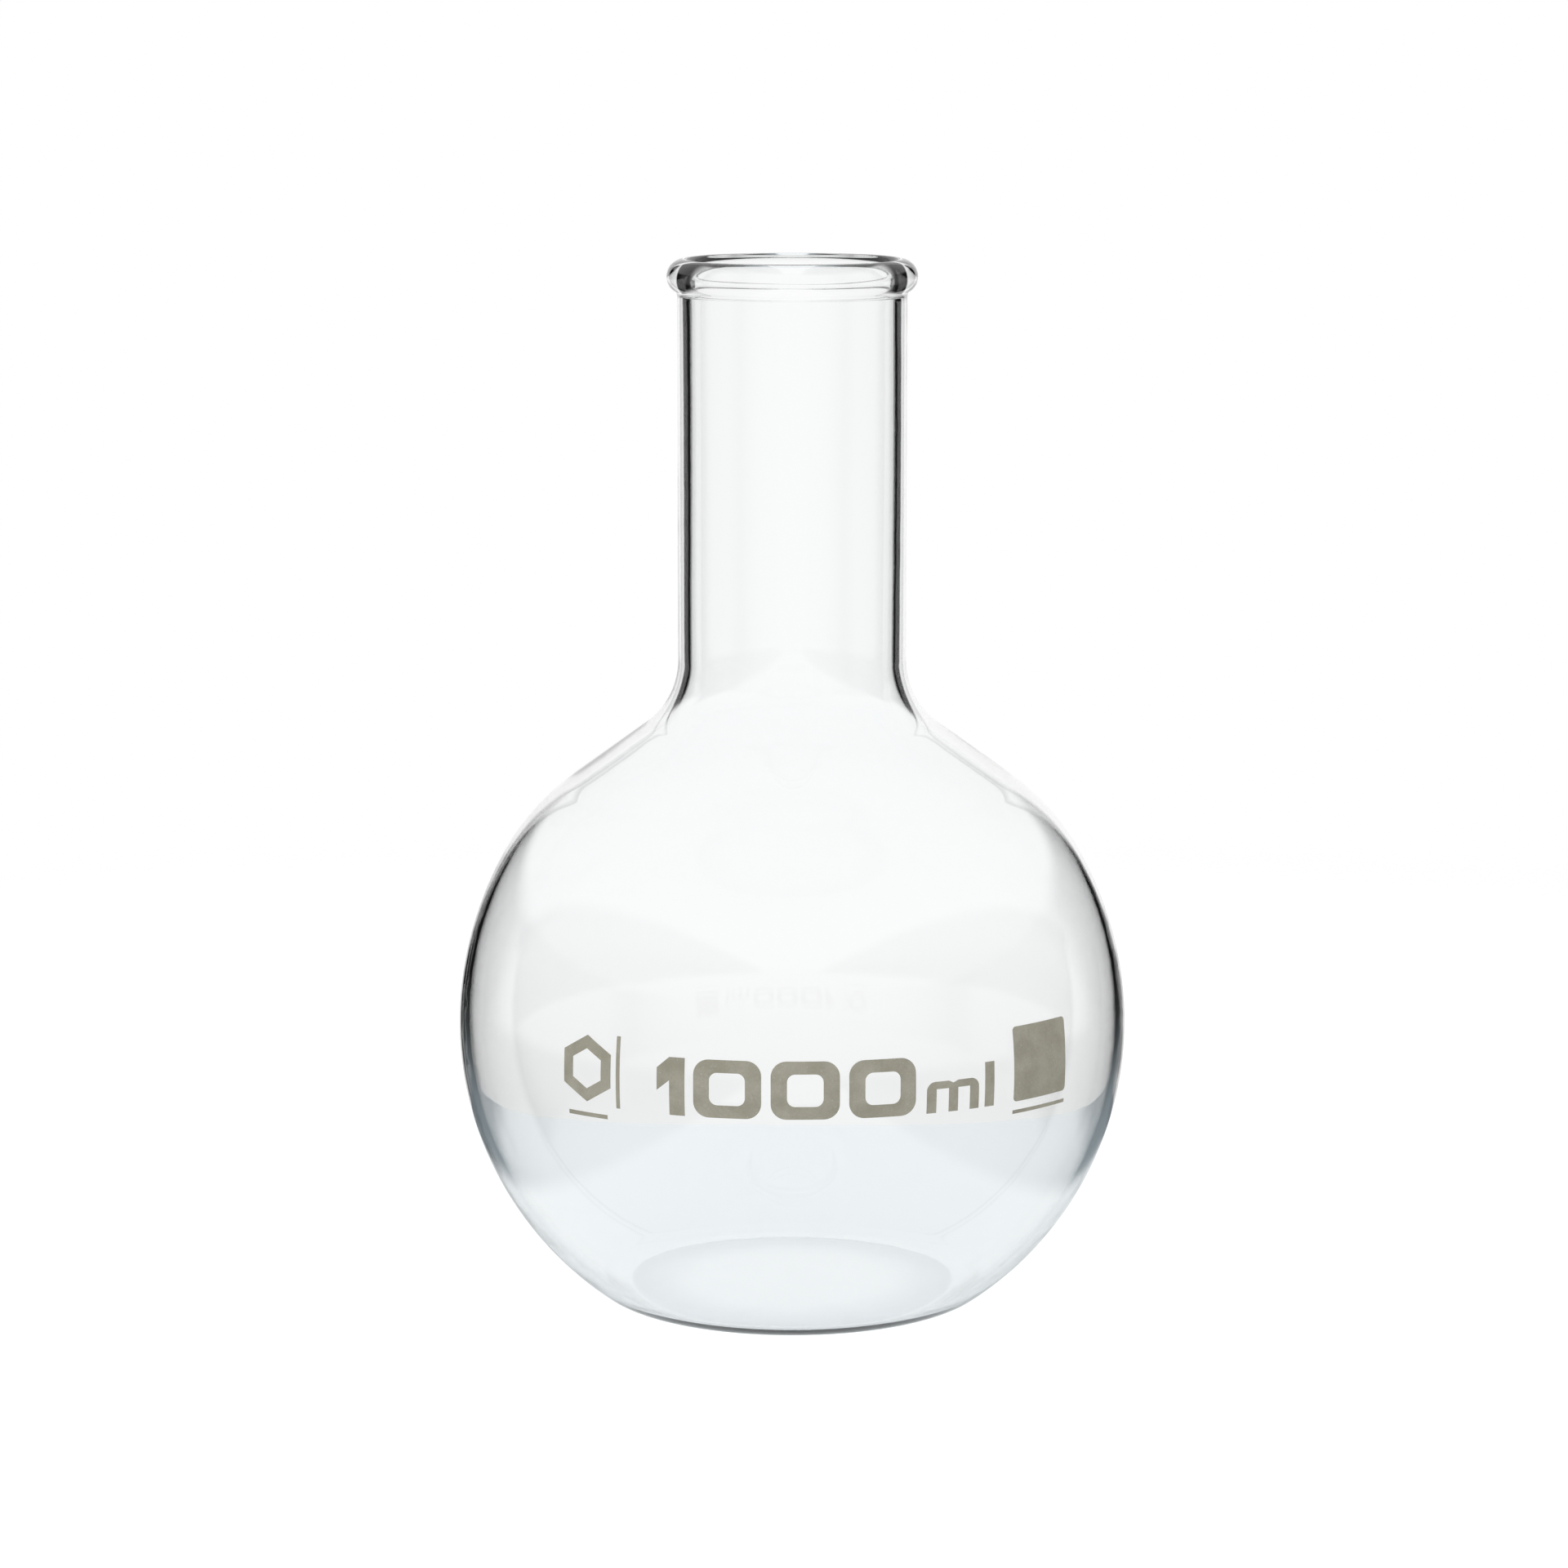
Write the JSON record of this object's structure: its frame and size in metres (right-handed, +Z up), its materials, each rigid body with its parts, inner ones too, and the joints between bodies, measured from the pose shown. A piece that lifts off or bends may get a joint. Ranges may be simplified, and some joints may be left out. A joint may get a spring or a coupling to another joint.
{
  "type": "flat-bottomed boiling flask",
  "caption": "Clear glass flat-bottomed round boiling flask with a short wide neck, a beaded rim and grey fired-enamel capacity marks, for heating and holding liquid.",
  "frame": {"origin": "centre of the flat base, on the plane that the flask stands on", "axes": "+Z up along the flask's axis towards the rim, -Y through the middle of the enamel marks, +X towards the writing patch"},
  "size_m": [0.1304, 0.1306, 0.2037],
  "materials": {
    "clear_glass": "gloss",
    "fired_enamel": "matte"
  },
  "bodies": {
    "root": {"glass_vessel": "clear_glass", "numeral_one": "fired_enamel", "numeral_zeros": "fired_enamel", "unit_letter_m": "fired_enamel", "unit_letter_l": "fired_enamel", "writing_patch": "fired_enamel", "glass_type_rule": "fired_enamel", "emblem_hexagon": "fired_enamel", "emblem_rules": "fired_enamel"}
  },
  "joints": []
}
